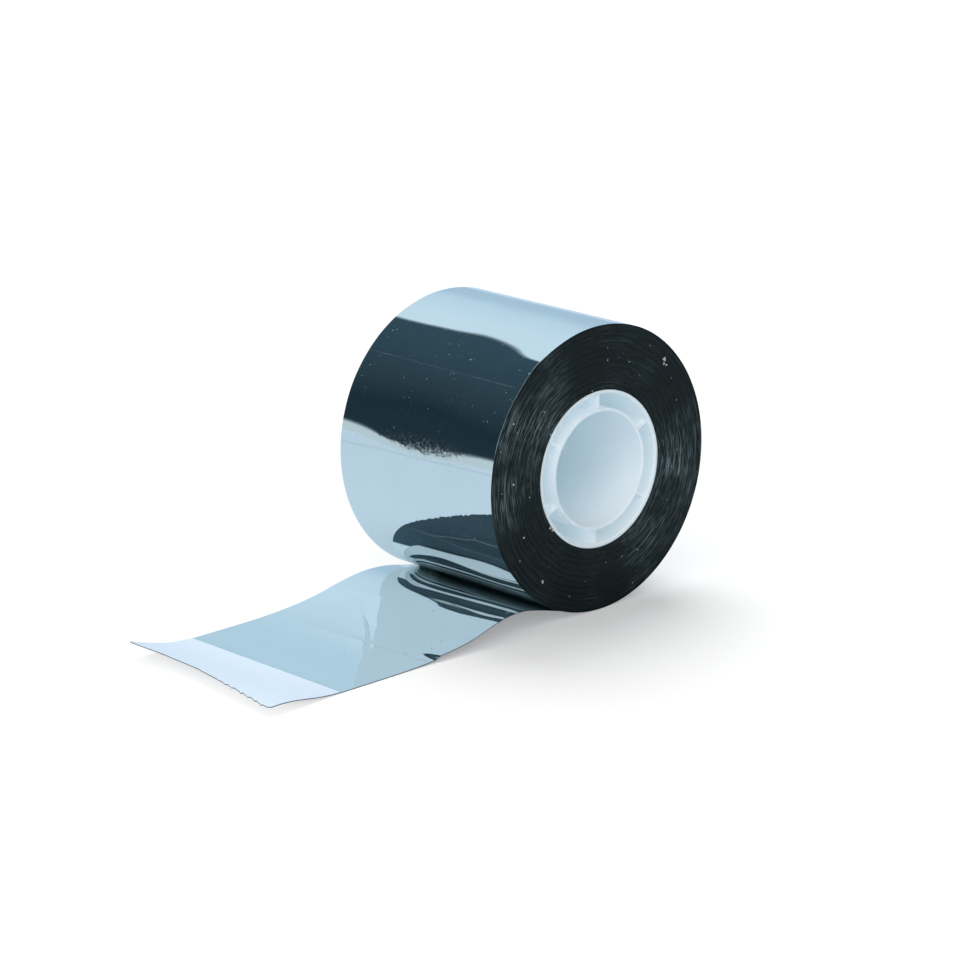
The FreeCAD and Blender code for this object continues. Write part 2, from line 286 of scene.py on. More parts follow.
# A dull line that leans: direction, lean in degrees to the metre, how far it wanders in degrees
# and with which scale, width and strength.
DULL_LINE_TURN = 173.0
DULL_LINE_LEAN = 75.0
DULL_LINE_WANDER = 2.2
DULL_LINE_SCALE = 55.0
DULL_LINE_WIDTH = 0.7
DULL_LINE_STRENGTH = 0.28
DULL_COLOUR = (0.50, 0.56, 0.60, 1.0)

# A powdery scuff on the front: direction and reach in degrees, place along the axis and reach in
# metres, then the powder's scale, how much there is of it, and how much rougher the foil is.
SCUFF_TURN, SCUFF_TURN_REACH = 168.0, 3.2
SCUFF_SIDE, SCUFF_SIDE_REACH = -0.005, 0.010
SCUFF_SCALE = 1500.0
SCUFF_POWDER = 0.45
SCUFF_ROUGHNESS = 0.10

# The fine relief: the unit of all its heights in metres, and its strength. Then the scale and the
# height of the lines from rolling, of the grain and, on the folded side, of ribs across the tape.
RELIEF_UNIT = 0.000003
RELIEF_STRENGTH = 0.25
ROLLING_SCALES, ROLLING_HEIGHT = (250.0, 2200.0, 250.0), 0.15
GRAIN_SCALE, GRAIN_HEIGHT = 700.0, 1.5
RIB_SCALES, RIB_HEIGHT = (800.0, 75.0, 800.0), 7.0
SCUFF_HEIGHT = 60.0

# Slightly lumpy spots of the outer side: direction in degrees and its change to the millimetre
# along the axis, place along the axis in millimetres, how far each reaches in degrees and in
# millimetres, the lumps' scale and their height.
LUMPY_SPOTS = (
    (168.0, 0.0, 1.0, 5.0, 11.0, 260.0, 210.0),
    (-161.4, 0.55, -6.0, 2.2, 17.0, 650.0, 38.0),
)

# Two fine scratches low on the front: start and end as (metres along the axis, degrees), width in
# degrees and strength. Then how far they wander in degrees and with which scale, and where along
# the axis they fade out.
SCRATCHES = (
    ((-0.018, -160.4), (-0.0015, -155.6), 0.36, 0.24),
    ((-0.0135, -153.5), (-0.0015, -155.6), 0.30, 0.18),
)
SCRATCH_WANDER = 1.6
SCRATCH_SCALE = 150.0
SCRATCHES_FADE = (0.007, 0.0)

# Sharp fold lines of the free end: start and end as (x, y), width and height.
FOLD_LINES = (
    ((-35.5, 23), (-34.2, 6), 0.8, 0.035),
    ((-34.6, 12), (-31.0, -27), 1.2, 0.035),
    ((-36.2, 15.5), (-41.9, 6.6), 0.30, -0.06),
    ((-36.6, 15.0), (-42.2, 6.0), 0.25, 0.05),
    ((-42.0, 7.5), (-45.9, 0.6), 0.40, -0.04),
    ((-55.5, 15), (-51.9, -6), 0.7, 0.03),
    ((-52.6, 0), (-51.0, -27), 0.8, 0.052),
    ((-55.1, -2.0), (-60.5, -8.8), 0.35, -0.03),
    ((-64.0, 3.5), (-64.8, 1.5), 0.35, -0.03),
)


def dust(n, place, rows):
    """Tiny round specks, one to a cell, in some of the cells."""
    kinds = []
    for scale, size, share in rows:
        cells = n.add("ShaderNodeTexVoronoi", {"Vector": place, "Scale": scale}).outputs
        chance = n.add("ShaderNodeSeparateColor", {0: cells["Color"]}).outputs
        near = n.range(n.plus(cells["Distance"], n.times(chance[1], size * 0.6)), size, size * 0.7)
        kinds.append(n.times(near, n.math("GREATER_THAN", chance[0], 1.0 - share)))
    return n.most(*kinds)


def scratches(n, place, side, angle):
    """Two fine scratches that part from each other."""
    wander = n.times(n.minus(n.noise(place, SCRATCH_SCALE, 2.0), 0.5), SCRATCH_WANDER)
    here = n.plus(angle, wander)
    lines = []
    for (start, start_turn), (end, end_turn), width, strength in SCRATCHES:
        away = n.minus(here, n.range(side, start, end, start_turn, end_turn))
        lines.append(n.times(n.narrow(away, width), strength))
    return n.times(n.most(*lines), n.range(side, *SCRATCHES_FADE))


def foil_dirt(n, place, side, angle, scuff, folded):
    """Share of dirt: specks, a dusty line, powder in the scuff, and scratches on the outer side."""
    faintness = n.times(n.range(angle, FAINT_TO, FAINT_FROM, FAINT_BELOW, FAINT_ABOVE),
                        n.math("GREATER_THAN", angle, 0.0))
    specks = n.most(dust(n, place, SPECKS), n.times(dust(n, place, FAINT_SPECKS), faintness))
    patches = n.range(n.noise(place, SPECK_PATCH_SCALE, 2.0), 0.42, 0.62, 0.15, 1.0)
    dusty_line = n.narrow(n.minus(angle, DUSTY_LINE_TURN), DUSTY_LINE_WIDTH)
    breaks = n.range(n.noise(place, DUSTY_LINE_BREAKS, 4.0), 0.42, 0.60, 0.3, 1.0)
    powder = n.range(n.noise(place, SCUFF_SCALE, 4.0, 0.65), 0.50, 0.64)
    dirt = n.most(n.times(specks, patches), n.times(dusty_line, breaks, DUSTY_LINE_STRENGTH),
                  n.times(powder, scuff, SCUFF_POWDER))
    return dirt if folded else n.most(dirt, scratches(n, place, side, angle))


def lumps(n, place, side, angle):
    """Height of the lumpy spots."""
    heights = []
    for turn, lean, middle, reach_turn, reach_side, scale, height in LUMPY_SPOTS:
        leaning = n.math("MULTIPLY_ADD", side, lean / MM, turn)
        spot = n.hill(n.offset(angle, leaning, reach_turn),
                      n.offset(side, middle * MM, reach_side * MM))
        heights.append(n.times(n.noise(place, scale, 2.0), spot, height))
    return n.plus(*heights)


def fold_lines(n, place):
    """Height of the fold lines: a ridge each, sharp along its middle and fading out at its ends."""
    heights = []
    for start, end, width, height in FOLD_LINES:
        run = metres(*end, 0.0) - metres(*start, 0.0)
        along_way = run.normalized()
        across_way = Vector((-along_way.y, along_way.x, 0.0))
        from_start = n.vector("SUBTRACT", place, metres(*start, 0.0))[0]
        along, beside = (n.vector("DOT_PRODUCT", from_start, way)["Value"]
                         for way in (along_way, across_way))
        ridge = n.math("EXPONENT", n.times(n.math("ABSOLUTE", beside), -1 / (width * MM)))
        half = run.length / 2
        ends = n.range(n.math("ABSOLUTE", n.minus(along, half)), half, half * 0.7)
        heights.append(n.times(ridge, ends, height))
    return n.plus(*heights)


def make_foil(name, looks, folded):
    """Mirror-bright foil: a cool silver with faint rolling lines, dust and a few dull lines.

    The outer side has lumps and scratches, and the folded inner side has ribs and fold lines.
    """
    material, n = new_material(name)
    place = n.place()
    x, side, z = n.apart(place)
    angle = n.times(n.math("ARCTAN2", z, x), 180 / math.pi)
    scuff = n.hill(n.offset(angle, SCUFF_TURN, SCUFF_TURN_REACH),
                   n.offset(side, SCUFF_SIDE, SCUFF_SIDE_REACH))
    dirt = foil_dirt(n, place, side, angle, scuff, folded)

    smudge = n.noise(place, SMUDGE_SCALE, 4.0)
    smudged = tuple(part * SMUDGE_SHADE for part in looks["colour"][:3]) + (1.0,)
    tone = n.mix(n.range(smudge, 0.35, 0.65), looks["colour"], smudged)
    leaning = n.plus(n.minus(angle, n.times(side, DULL_LINE_LEAN)),
                     n.times(n.noise(place, DULL_LINE_SCALE, 1.0), DULL_LINE_WANDER))
    dull_line = n.narrow(n.minus(leaning, DULL_LINE_TURN), DULL_LINE_WIDTH)
    tone = n.mix(n.times(dull_line, DULL_LINE_STRENGTH), tone, DULL_COLOUR)
    tone = n.mix(dirt, tone, DIRT_COLOUR)
    rough = n.plus(n.range(smudge, 0.3, 0.7, *looks["roughness"]), n.times(scuff, SCUFF_ROUGHNESS))
    metal = n.minus(1.0, n.times(dirt, DIRT_TAKES_METAL))
    shader = n.add("ShaderNodeBsdfPrincipled", {"Base Color": tone, "Roughness": rough,
                                                "Metallic": metal})

    relief = n.plus(n.times(n.stretched_noise(place, ROLLING_SCALES, 2.0), ROLLING_HEIGHT),
                    n.times(n.noise(place, SCUFF_SCALE, 4.0), scuff, SCUFF_HEIGHT),
                    n.times(n.noise(place, GRAIN_SCALE, 3.0), GRAIN_HEIGHT))
    if folded:
        relief = n.plus(relief, n.times(n.stretched_noise(place, RIB_SCALES, 2.0), RIB_HEIGHT))
    else:
        relief = n.plus(relief, lumps(n, place, side, angle))
    bump = n.bump(relief, RELIEF_STRENGTH, RELIEF_UNIT)
    if folded:
        n.feed(bump.inputs["Normal"], n.bump(fold_lines(n, place), 1.0, MM).outputs[0])
    n.feed(shader.inputs["Normal"], bump.outputs[0])

    haze = n.add("ShaderNodeBsdfDiffuse", {"Color": looks["haze"]}).outputs[0]
    both = n.add("ShaderNodeAddShader", {0: shader.outputs[0], 1: haze}).outputs[0]
    n.end("ShaderNodeOutputMaterial", both)
    return material


# ---------------------------------------------------------------- the other materials

# Light strands on the cut edges: waves to one radian along the turns, waves to the metre across
# them, the noise's level where a strand starts and where it is full, and strength.
STRANDS = (
    (2.4, 4600.0, 0.66, 0.73, 1.0),
    (6.0, 6600.0, 0.62, 0.71, 0.9),
    (12.0, 9000.0, 0.55, 0.70, 0.5),
)
# The way through the middle along which a painted sheen brings out the strands on two sides.
SHEEN_WAY = (-0.89, 0.0, 0.46)
EDGE_DARK = (0.0075, 0.0112, 0.0104, 1.0)
EDGE_LESS_DARK = (0.0090, 0.0127, 0.0127, 1.0)
STRAND_COLOUR = (0.20, 0.25, 0.26, 1.0)
FACE_SPECK_COLOUR = (0.42, 0.45, 0.43, 1.0)

PLASTIC_CLOUD = ((0.93, 0.975, 0.99, 1.0), (0.94, 0.98, 0.993, 1.0))
# The colour of the painted shade deep in the bore.
BORE_PAINTED_SHADE_COLOUR = (0.81, 0.88, 0.91, 1.0)
CARRIED_LIGHT = (0.81, 0.91, 1.0, 1.0)
POCKET_LIGHT = 0.037
BORE_LIGHT = 0.04
# Soft limits in millimetres: the radii where the bore's wall ends and where the pockets begin and
# end, each as (none, full), then the sides between which painted shade darkens the bore inwards,
# and between which its light fades.
BORE_WALL = (13.4, 13.1)
POCKETS_FROM = (13.45, 13.68)
POCKETS_TO = (17.35, 17.05)
BORE_PAINTED_SHADE_SIDES = (-19, 1)
BORE_LIGHT_FADES = (-24, -8)


def make_foil_edges():
    """The cut edges of the turns: nearly black, with fine light strands that follow the turns."""
    material, n = new_material("foil_edges")
    place = n.place()
    x, _, z = n.apart(place)
    flat, radius = out_from_axis(n, x, z)
    direction = n.vector("NORMALIZE", flat)[0]
    noises = []
    lights = []
    for length, spacing, start, full, strength in STRANDS:
        turned = n.add("ShaderNodeVectorMath", {0: direction, "Scale": length}, operation="SCALE")
        x, _, z = n.apart(turned.outputs[0])
        spot = n.add("ShaderNodeCombineXYZ", {0: x, 1: n.times(radius, spacing), 2: z}).outputs[0]
        noises.append(n.noise(spot, 1.0, 0.0, 0.4))
        lights.append(n.times(n.range(noises[-1], start, full), strength))
    # Painted sheen: the strands show fully only on the two sides, along one line through the
    # middle, and only faintly elsewhere.
    beside = n.math("ABSOLUTE", n.vector("DOT_PRODUCT", direction, SHEEN_WAY)["Value"])
    painted_sheen = n.range(beside, 0.65, 1.0, 0.12, 1.0)
    patches = n.range(n.noise(place, 95.0, 3.0), 0.38, 0.62, 0.15, 1.0)
    light = n.times(n.most(*lights), patches, painted_sheen)

    base = n.mix(n.noise(place, 60.0, 2.0), EDGE_DARK, EDGE_LESS_DARK)
    tone = n.mix(light, base, STRAND_COLOUR)
    tone = n.mix(dust(n, place, FACE_SPECKS), tone, FACE_SPECK_COLOUR)
    shader = n.add("ShaderNodeBsdfPrincipled", {"Base Color": tone, "Roughness": 0.38,
                                                "Anisotropic": 0.6, "Specular IOR Level": 0.08})
    tangent = n.add("ShaderNodeTangent", direction_type="RADIAL", axis="Y").outputs[0]
    n.feed(shader.inputs["Tangent"], tangent)
    n.feed(shader.inputs["Normal"], n.bump(noises[1], 0.3, 0.00003).outputs[0])
    n.end("ShaderNodeOutputMaterial", shader.outputs[0])
    return material


def make_core_plastic():
    """Translucent white moulded plastic with a satin skin.

    A faint glow stands for the light that it carries into its pockets and along the bore's mouth.
    """
    material, n = new_material("core_plastic_satin")
    place = n.place()
    x, side, z = n.apart(place)
    radius = out_from_axis(n, x, z)[1]

    def across(value, limits, *ends):
        return n.range(value, *(limit * MM for limit in limits), *ends)

    bore = across(radius, BORE_WALL)
    pockets = n.times(across(radius, POCKETS_FROM), across(radius, POCKETS_TO))
    cloud = n.noise(place, 90.0, 3.0)
    tone = n.mix(cloud, *PLASTIC_CLOUD)
    # Painted shade: the bore's wall is drawn darker towards its depth.
    tone = n.mix(n.times(bore, across(side, BORE_PAINTED_SHADE_SIDES)), tone, BORE_PAINTED_SHADE_COLOUR)
    glow = n.plus(n.times(pockets, POCKET_LIGHT),
                  n.times(bore, across(side, BORE_LIGHT_FADES, BORE_LIGHT, 0.0)))
    shader = n.add("ShaderNodeBsdfPrincipled", {
        "Base Color": tone, "IOR": 1.5, "Roughness": n.range(cloud, 0.3, 0.7, 0.36, 0.46),
        "Subsurface Weight": 0.3, "Subsurface Scale": 0.0007, "Subsurface Radius": (1.0, 1.0, 1.0),
        "Emission Color": CARRIED_LIGHT, "Emission Strength": glow})
    n.feed(shader.inputs["Normal"], n.bump(n.noise(place, 2500.0, 2.0), 0.15, 0.00003).outputs[0])
    n.end("ShaderNodeOutputMaterial", shader.outputs[0])
    material.cycles.emission_sampling = "NONE"
    return material


def make_plain(name, scale, colours, rough):
    """A plain surface, clouded between two colours."""
    material, n = new_material(name)
    tone = n.mix(n.noise(n.place(), scale, 3.0), *colours)
    shader = n.add("ShaderNodeBsdfPrincipled", {"Base Color": tone, "Roughness": rough})
    n.end("ShaderNodeOutputMaterial", shader.outputs[0])
    return material


def make_crumb_lint():
    """Pale crumbs of dried adhesive and lint."""
    return make_plain("adhesive_crumbs", 2500.0,
                      ((0.30, 0.31, 0.27, 1.0), (0.75, 0.74, 0.64, 1.0)), 0.7)


def make_tab_film():
    """The white strip stuck on the end."""
    return make_plain("tab_film_white", 70.0,
                      ((0.590, 0.695, 0.810, 1.0), (0.620, 0.725, 0.825, 1.0)), 0.4)


# ---------------------------------------------------------------- the wound turns

TURNS = 98              # rows of points on an end face, one to a turn
AROUND = 320            # points round the roll
ACROSS = 48             # steps across the tape
FACE_RIDGES = 11        # ridges of turns that stand out on an end face
CORE_GAP = 0.03         # between the core and the first turn
SKIN_INSET = 0.22       # keeps the waves and swells of the outer turn within the solid
BROAD_WAVE = 0.06
SMALL_WAVE = 0.010
FIRST_ROW = 0.3         # the outer turn's first row of points lies this far from the near edge
FAR_FACE = 500          # turns of the far face are numbered from here, so that it differs

# The last turn's near edge is rounded over on one stretch of the rim: by how much, and the
# stretch's middle and reach in degrees.
RIM_ROUNDING = 0.14
RIM_MIDDLE = 140
RIM_REACH = 32

# How far a turn's cut edge stands back from the end plane: always, on a ridge's flank, by its own
# waves, and by its own step, which is one of this many.
LEAST_DEPTH = 0.06
RIDGE_DEPTH = 0.09
WAVE_DEPTH = 0.04
STEP_DEPTH = 0.05
STEPS = 13
STEP_SHUFFLE = 7919

# Soft hollows and swellings of the outer turn: place and size as (degrees, mm), and height.
SWELLS = (
    ((161, 0), (10, 12), -0.56),
    ((125, -27), (6, 11), 0.36),
    ((107, -3), (8, 9), 0.15),
    ((150, 22), (8, 10), 0.08),
    ((219, 4), (11, 13), -0.17),
    ((216, -18), (6, 11), -0.27),
)

# Crumbs of adhesive and lint on the near face: (x, z), and size. Then their place along the axis,
# and the rows and columns of points on one crumb.
CRUMBS = (
    (20.5, 21.1, 0.55),
    (20.2, 20.1, 0.38),
    (21.0, 19.6, 0.28),
    (-25.3, 15.6, 0.34),
    (-25.7, 2.1, 0.30),
    (-15.1, -10.1, 0.40),
    (-14.5, -10.8, 0.28),
    (-17.8, -21.8, 0.36),
    (-14.5, 10.9, 0.26),
    (-23.1, -10.5, 0.24),
)
CRUMB_Y = -24.9
CRUMB_ROWS = 6
CRUMB_COLUMNS = 9


def roll_radius(angle):
    """The roll's outline, which is off the core's centre and not quite round."""
    return (32.50 - 0.30 * math.cos(angle) + 0.15 * math.sin(angle) - 0.10 * math.cos(2 * angle)
            + 0.12 * math.sin(2 * angle))


def dent(angle, y, place, size):
    """1 at this place, fading out within about two sizes, both given as (degrees, mm)."""
    turn = (math.degrees(angle) - place[0] + 180) % 360 - 180
    return math.exp(-(turn / size[0]) ** 2 - ((y - place[1]) / size[1]) ** 2)


def wall_point(angle, y):
    """A point of the outer turn, with the slight waves that its reflections show."""
    broad = Vector((math.cos(angle) * 1.6, math.sin(angle) * 1.6, y / 22))
    small = Vector((math.cos(angle) * 4.5, math.sin(angle) * 4.5, y / 9 + 7))
    wave = BROAD_WAVE * noise.noise(broad) + SMALL_WAVE * noise.noise(small)
    swell = 0.0
    for place, size, height in SWELLS:
        swell += height * dent(angle, y, place, size)
    radius = roll_radius(angle) - SKIN_INSET + wave + swell
    x = radius * math.cos(angle)
    z = radius * math.sin(angle)
    return x, y, max(z, FLOOR)


def rim_depth(side, angle):
    """How far the last turn's edge is rounded over: only on the upper part of the near face."""
    away = abs(math.degrees(angle) - RIM_MIDDLE)
    return RIM_ROUNDING * smooth(RIM_REACH, RIM_REACH * 0.6, away) if side < 0 else 0.0


def turn_depth(turn, angle):
    """How far a turn's cut edge stands back from the end plane."""
    share = turn / TURNS * FACE_RIDGES
    ridge = abs(share % 1.0 - 0.5) * 2
    own = noise.noise(Vector((turn * 0.73, math.cos(angle) * 1.2, math.sin(angle) * 1.2)))
    step = STEP_DEPTH * ((turn * STEP_SHUFFLE) % STEPS) / (STEPS - 1)
    return LEAST_DEPTH + RIDGE_DEPTH * ridge + WAVE_DEPTH * (own + 1) + step


def face_point(side, turn, angle):
    """A point of an end face: -1 is the near side and 1 the far one."""
    inner = CORE_RADIUS + CORE_GAP
    outer = wall_point(angle, side * HALF_WIDTH)
    share = turn / TURNS
    if turn == TURNS:
        depth = rim_depth(side, angle)
    else:
        depth = turn_depth(turn + (FAR_FACE if side > 0 else 0), angle)
    return (blend(inner * math.cos(angle), outer[0], share), side * (HALF_WIDTH - depth),
            blend(inner * math.sin(angle), outer[2], share))


def make_roll(foil, edges):
    angles = [2 * math.pi * j / AROUND for j in range(AROUND)]
    wall_rows = [-HALF_WIDTH + FIRST_ROW]
    wall_rows += [blend(-HALF_WIDTH, HALF_WIDTH, k / ACROSS) for k in range(1, ACROSS)]
    points = [metres(*face_point(-1, k, angle)) for k in range(TURNS + 1) for angle in angles]
    points += [metres(*wall_point(angle, y)) for y in wall_rows for angle in angles]
    points += [metres(*face_point(1, k, angle)) for k in range(TURNS, -1, -1) for angle in angles]

    faces = []
    kinds = []
    rows = len(points) // AROUND
    for i in range(rows):
        onward = (i + 1) % rows
        on_wall = TURNS <= i <= TURNS + ACROSS or i == rows - 1
        for j in range(AROUND):
            on_rim = i == TURNS - 1 and rim_depth(-1, angles[j]) > 0.3 * RIM_ROUNDING
            beside = (j + 1) % AROUND
            faces.append((i * AROUND + j, i * AROUND + beside, onward * AROUND + beside,
                          onward * AROUND + j))
            kinds.append(0 if on_wall or on_rim else 1)
    piece = new_object("tape_turns", points, faces, [foil, edges], kinds, sharp_degrees=62)
    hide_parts("tape")
    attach(piece, "root")


def make_crumbs(material):
    points = []
    faces = []
    for index, (x, z, size) in enumerate(CRUMBS):
        start = len(points)
        for i in range(CRUMB_ROWS + 1):
            for j in range(CRUMB_COLUMNS):
                polar = math.pi * i / CRUMB_ROWS
                turn = 2 * math.pi * j / CRUMB_COLUMNS
                way = Vector((math.sin(polar) * math.cos(turn), -math.cos(polar) * 0.5,
                              math.sin(polar) * math.sin(turn)))
                lump = noise.noise(way * 1.7 + Vector((index * 3.1, 0, 0)))
                spot = way * size * (0.8 + 0.9 * lump)
                points.append(metres(x + spot.x, max(CRUMB_Y + spot.y, -HALF_WIDTH), z + spot.z))
        for i in range(CRUMB_ROWS):
            row, onward = (start + k * CRUMB_COLUMNS for k in (i, i + 1))
            for j in range(CRUMB_COLUMNS):
                beside = (j + 1) % CRUMB_COLUMNS
                faces.append((row + j, row + beside, onward + beside, onward + j))
    piece = new_object("face_crumbs", points, faces, [material])
    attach(piece, "root")


# ---------------------------------------------------------------- the free end

# Poles of a smooth curve: how far out from the roll's axis, then the height of the near and of the
# far edge above the floor.
FREE_END_OUT = (5, 12, 19, 26, 33, 41, 50, 60, 70, 78, 85, 92, 99)
NEAR_HEIGHT = (0.5, 2.2, 4.4, 5.6, 4.0, 1.4, 0.2, 0, 0, 0, 0.9, 2.2, 1.4)
FAR_HEIGHT = (0.5, 1.6, 3.6, 4.0, 3.2, 1.3, 0.3, 0, 0, 0, 0.7, 3.2, 5.2)
# How far out the curve has come at each of its steps.
CURVE_STEPS = 600
REACHED = [spline(FREE_END_OUT, i / CURVE_STEPS) for i in range(CURVE_STEPS + 1)]

TAPE_THICKNESS = 0.15
TAB_THICKNESS = 0.1
REST_GAP = 0.02                 # between the tape's underside and the floor
STRIP_START = -6.0              # where the free end comes out of the roll's foot
TAB_START = (-76.2, -76.6)      # where the tab starts, at the near and at the far edge
FREE_END_ROWS = 180
TAB_ROWS = 60
FREE_END_COLUMNS = 140

# The tear has teeth from the near edge up to this place across the tape. Then how far out it lies
# on the far half, in the middle and at the near edge, and the spacing and depth of its teeth.
TOOTHED_UP_TO = 2
TEAR_FAR = -92.0
TEAR_MIDDLE = -92.2
TEAR_NEAR = -95.6
TOOTH_PITCH = 2.9
TOOTH_DEPTH = 0.75

# Folds across the free end: start and end as (x, y), width and height.
CREASES = (
    ((-36.4, 25), (-31.0, -25), 2.4, 0.06),
    ((-53.4, 16), (-51.0, -25), 1.6, 0.07),
    ((-36.0, 15.5), (-46.0, 0.5), 0.8, -0.16),
    ((-45.5, 1.2), (-55, -9.5), 0.9, -0.07),
    ((-55.1, -2.2), (-61, -8.8), 0.7, -0.05),
)
# Soft swells of the hump: place and size as (x, y), and height.
HUMP_SWELLS = (
    ((-28.3, -2), (2.2, 16), 0.12),
    ((-23.0, 9), (2.4, 17), -0.05),
    ((-23.2, -21), (1.7, 10), 0.08),
)
# A buckle at the near edge: where its steep outer side ends, how long that is, between which
# distances from there it falls towards the roll, and its height.
BUCKLE_X = -47.8
BUCKLE_RISE = 2.2
BUCKLE_FALL = (11, 0.5)
BUCKLE_HEIGHT = 0.47
SLACK = 0.05                    # height of the slight waves on the flat stretch


def end_reach(y):
    """Where the torn end lies at this place across the tape.

    The far half is plain, and the near half has teeth that a cutter left.
    """
    if y > TOOTHED_UP_TO:
        base = TEAR_FAR - 1.2 * smooth(14, 25, y)
    else:
        base = blend(TEAR_MIDDLE, TEAR_NEAR, (TOOTHED_UP_TO - y) / (TOOTHED_UP_TO + HALF_WIDTH))
    toothed = 0.15 + 0.85 * smooth(0, 16, -y)
    tooth = math.sqrt(((y + 1.2 * ripple(y / 4, 8.0, 2.0)) / TOOTH_PITCH) % 1.0)
    corner = 0.9 * smooth(-24.0, -25.2, y)
    rough = 0.10 * ripple(y * 1.7, 3.0, 5.0) + 0.12 * ripple(y * 0.6, 9.0, 5.0)
    return base + toothed * TOOTH_DEPTH * (tooth - 0.5) + rough + corner


def free_end_height(share, y):
    across = (HALF_WIDTH - y) / (2 * HALF_WIDTH)
    return blend(spline(FAR_HEIGHT, share), spline(NEAR_HEIGHT, share), across)


def share_at(x):
    """Where along the free end's curve it lies this far out."""
    place = bisect.bisect_left(REACHED, -x)
    place = min(max(place, 1), CURVE_STEPS)
    low, high = REACHED[place - 1], REACHED[place]
    return (place - 1 + (-x - low) / (high - low)) / CURVE_STEPS


def valley(x, y, start, end, width):
    """1 on the straight line from start to end, fading out beside it and past its ends."""
    run = Vector(end) - Vector(start)
    across = Vector((x, y)) - Vector(start)
    along = across.dot(run) / run.length_squared
    beside = abs(across.x * run.y - across.y * run.x) / run.length
    return math.exp(-(beside / width) ** 1.5) * smooth(-0.08, 0.1, along) * smooth(1.08, 0.9, along)


def creases(x, y):
    """Height of the free end's folds, swells and buckle. It fades out at the roll's foot."""
    height = 0.0
    for start, end, width, depth in CREASES:
        height += depth * valley(x, y, start, end, width)
    fall_from, fall_to = (BUCKLE_X + reach for reach in BUCKLE_FALL)
    buckle = smooth(BUCKLE_X - BUCKLE_RISE, BUCKLE_X, x) * smooth(fall_from, fall_to, x)
    height += BUCKLE_HEIGHT * buckle * smooth(-16, -26, y)
    for (place_x, place_y), (size_x, size_y), swell in HUMP_SWELLS:
        height += swell * math.exp(-((x - place_x) / size_x) ** 2 - ((y - place_y) / size_y) ** 2)
    height += SLACK * ripple(x / 13, y / 30, 4.0) * smooth(-30, -40, x)
    return height * smooth(-9, -14, x)


def free_end_point(along, y, start_x, lift):
    """along runs from 0 at start_x to 1 at the torn end."""
    x = blend(start_x, end_reach(y), along)
    height = free_end_height(share_at(x), y)
    height = max(height + creases(x, y), 0.0)
    return x, y, FLOOR + REST_GAP + TAPE_THICKNESS + height + lift


def make_strip(name, start_of, thickness, lift, rows, top, bottom, edge):
    """A strip along the free end, from start_of(y) to the tear, its top lifted by this much."""
    columns = FREE_END_COLUMNS
    points = []
    for side in (0, -thickness):
        for i in range(rows + 1):
            for j in range(columns + 1):
                y = blend(-HALF_WIDTH, HALF_WIDTH, j / columns)
                x, y, z = free_end_point(i / rows, y, start_of(y), lift)
                points.append(metres(x, y, z + side))

    def spot(layer, i, j):
        return (layer * (rows + 1) + i) * (columns + 1) + j

    faces = []
    kinds = []
    for i in range(rows):
        for j in range(columns):
            faces.append((spot(0, i, j), spot(0, i, j + 1), spot(0, i + 1, j + 1),
                          spot(0, i + 1, j)))
            kinds.append(0)
            faces.append((spot(1, i, j), spot(1, i + 1, j), spot(1, i + 1, j + 1),
                          spot(1, i, j + 1)))
            kinds.append(1)
    for i in range(rows):
        for j in (0, columns):
            faces.append((spot(0, i, j), spot(0, i + 1, j), spot(1, i + 1, j), spot(1, i, j)))
            kinds.append(2)
    for j in range(columns):
        for i in (0, rows):
            faces.append((spot(0, i, j), spot(1, i, j), spot(1, i, j + 1), spot(0, i, j + 1)))
            kinds.append(2)
    return new_object(name, points, faces, [top, bottom, edge], kinds, sharp_degrees=50)


def make_free_end(foil, inner_foil, edges, film):
    strip = make_strip("tape_free_end", lambda y: STRIP_START, TAPE_THICKNESS, 0.0, FREE_END_ROWS,
                       inner_foil, foil, edges)
    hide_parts("tape")
    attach(strip, "root")
    tab = make_strip("end_strip", lambda y: blend(*TAB_START, (y + HALF_WIDTH) / (2 * HALF_WIDTH)),
                     TAB_THICKNESS, TAB_THICKNESS, TAB_ROWS, film, film, film)
    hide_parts("end_tab")
    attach(tab, "root")


# ---------------------------------------------------------------- stage, light and camera

# What the foil sees round the roll's axis: direction and colour.
SURROUNDINGS = (
    (0, (0.395, 0.564, 0.720)),
    (20, (0.413, 0.600, 0.748)),
    (34, (0.526, 0.733, 0.866)),
    (50, (0.582, 0.789, 0.933)),
    (60, (0.613, 0.809, 0.943)),
    (74.5, (0.613, 0.809, 0.943)),
    (76.5, (0.031, 0.068, 0.094)),
    (106, (0.026, 0.059, 0.082)),
    (118, (0.024, 0.053, 0.070)),
    (131, (0.022, 0.043, 0.058)),
    (143, (0.015, 0.034, 0.046)),
    (155, (0.010, 0.023, 0.032)),
    (172.5, (0.012, 0.028, 0.039)),
    (174.5, (0.526, 0.661, 0.728)),
    (182, (0.526, 0.672, 0.737)),
    (200, (0.544, 0.728, 0.852)),
    (359, (0.452, 0.661, 0.775)),
)
FLOOR_SEEN_BY_FOIL = (0.451, 0.593, 0.698, 1.0)
LIGHT_LEVEL = 0.11

# The floor that the camera sees scatters light and glows a little. Towards the torn end it turns
# into a bright glow by the given share, so that the shadow there fades out.
FLOOR_GREY = 0.65
FLOOR_GLOW = 0.285
BRIGHT_GLOW = 1.08
FADE_FROM, FADE_TO = -66, -92
FADE_SHARE = 0.68
FLOOR_REACH = 2500

# Soft lamps far away: name, direction from the object, spread in degrees, and strength.
LAMPS = (
    ("overhead", (0.36, 0.48, 0.80), 45, 2.60),
    ("behind", (-0.41, 0.41, 0.82), 45, 0.62),
    ("front", (-0.58, -0.66, 0.48), 85, 1.85),
)

# Where the camera stands: its direction from the axis' middle in degrees, first from -Y towards +X
# and then upwards, its roll, its distance, how far it is slid to the right and up, and its lens.
CAMERA_AZIMUTH = -41.924
CAMERA_ELEVATION = 16.907
CAMERA_ROLL = -1.427
CAMERA_DISTANCE = 816.52
CAMERA_SLIDE = (-7.363, -9.558)
CAMERA_LENS = 133.373


